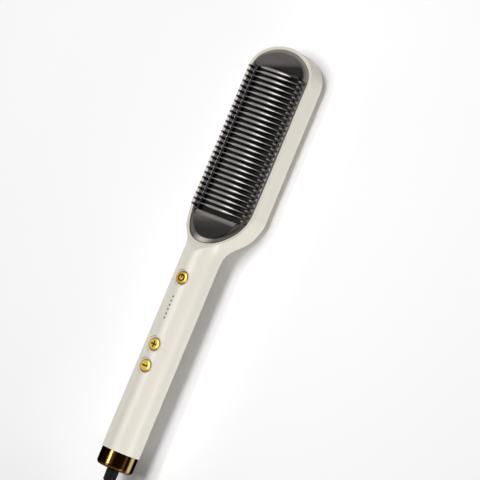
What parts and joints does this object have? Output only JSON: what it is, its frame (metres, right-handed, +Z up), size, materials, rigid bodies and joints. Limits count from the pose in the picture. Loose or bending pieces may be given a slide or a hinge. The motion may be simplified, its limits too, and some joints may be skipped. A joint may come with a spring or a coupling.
{
  "type": "hair straightening brush",
  "caption": "Heated hair straightening brush: a comb of heated fins between cool guard teeth in a long head, a round handle with power, plus and minus keys, and a swivelling mains cord.",
  "frame": {"origin": "centre of the bounding box on the floor, under the brush without its cord", "axes": "+Y along the handle towards the head's tip, +Z up out of the comb's face, X across"},
  "size_m": [0.0627, 0.5507, 0.0351],
  "materials": {
    "shell_cream": "satin ivory moulded plastic",
    "frame_grey": "satin dark taupe heat-resistant plastic",
    "tooth_black": "satin black nylon",
    "comb_black": "glossy black ceramic coat on die-cast aluminium",
    "gilt": "gold-plated plastic, polished",
    "ceramic": "fired ceramic",
    "copper": "bare copper alloy",
    "steel": "zinc-plated steel",
    "film_amber": "amber insulating film",
    "mica": "mica sheet",
    "board_green": "solder-masked laminate",
    "inner_black": "black moulded plastic",
    "inner_white": "white moulded plastic",
    "lamp_grey": "smoky clear plastic",
    "wire_red": "silicone wire sleeve",
    "boot_black": "satin black soft plastic",
    "cord_black": "satin black cord sheath",
    "plug_black": "moulded black plastic",
    "blade_nickel": "nickel-plated brass"
  },
  "bodies": {
    "root": {"front_housing": "shell_cream", "back_cover": "shell_cream", "comb_frame": "frame_grey", "guard_teeth_left": "tooth_black", "guard_teeth_right": "tooth_black", "heating_comb": "comb_black", "frame_screws": "steel", "cover_screws": "steel", "board_screws": "steel", "clamp_screws": "steel", "ptc_tiles": "ceramic", "electrode_strips": "copper", "insulation_film": "film_amber", "heater_clamp": "steel", "heat_shield": "mica", "thermal_fuse": "inner_white", "thermistor": "inner_black", "main_board": "board_green", "key_switches": "inner_black", "indicator_lamps": "inner_white", "light_guide": "lamp_grey", "power_parts": "inner_black", "terminal_block": "board_green", "tail_cap": "gilt", "swivel_socket": "inner_black", "brush_contacts": "copper", "supply_leads": "wire_red", "heater_leads": "wire_red", "power_cord": "cord_black", "cord_hank": "cord_black", "plug_lead": "cord_black", "cord_tie": "inner_white", "plug_body": "plug_black", "plug_blades": "blade_nickel"},
    "power_key": {"power_button": "gilt", "power_plunger": "inner_white"},
    "plus_key": {"plus_button": "gilt", "plus_plunger": "inner_white"},
    "minus_key": {"minus_button": "gilt", "minus_plunger": "inner_white"},
    "cord_swivel": {"swivel_spindle": "inner_black", "slip_rings": "copper", "strain_relief": "boot_black"}
  },
  "joints": [
    {"name": "power_press", "type": "slide", "parent": "root", "child": "power_key", "axis": [0, 0, -1], "range_m": [0, 0.0008], "stiffness_N_per_m": 1500, "springref_m": -0.0003},
    {"name": "plus_press", "type": "slide", "parent": "root", "child": "plus_key", "axis": [0, 0, -1], "range_m": [0, 0.0008], "stiffness_N_per_m": 1500, "springref_m": -0.0003},
    {"name": "minus_press", "type": "slide", "parent": "root", "child": "minus_key", "axis": [0, 0, -1], "range_m": [0, 0.0008], "stiffness_N_per_m": 1500, "springref_m": -0.0003},
    {"name": "cord_turn", "type": "hinge", "parent": "root", "child": "cord_swivel", "pos_m": [0, -0.13, 0.022], "axis": [0, 1, 0], "continuous": true}
  ]
}
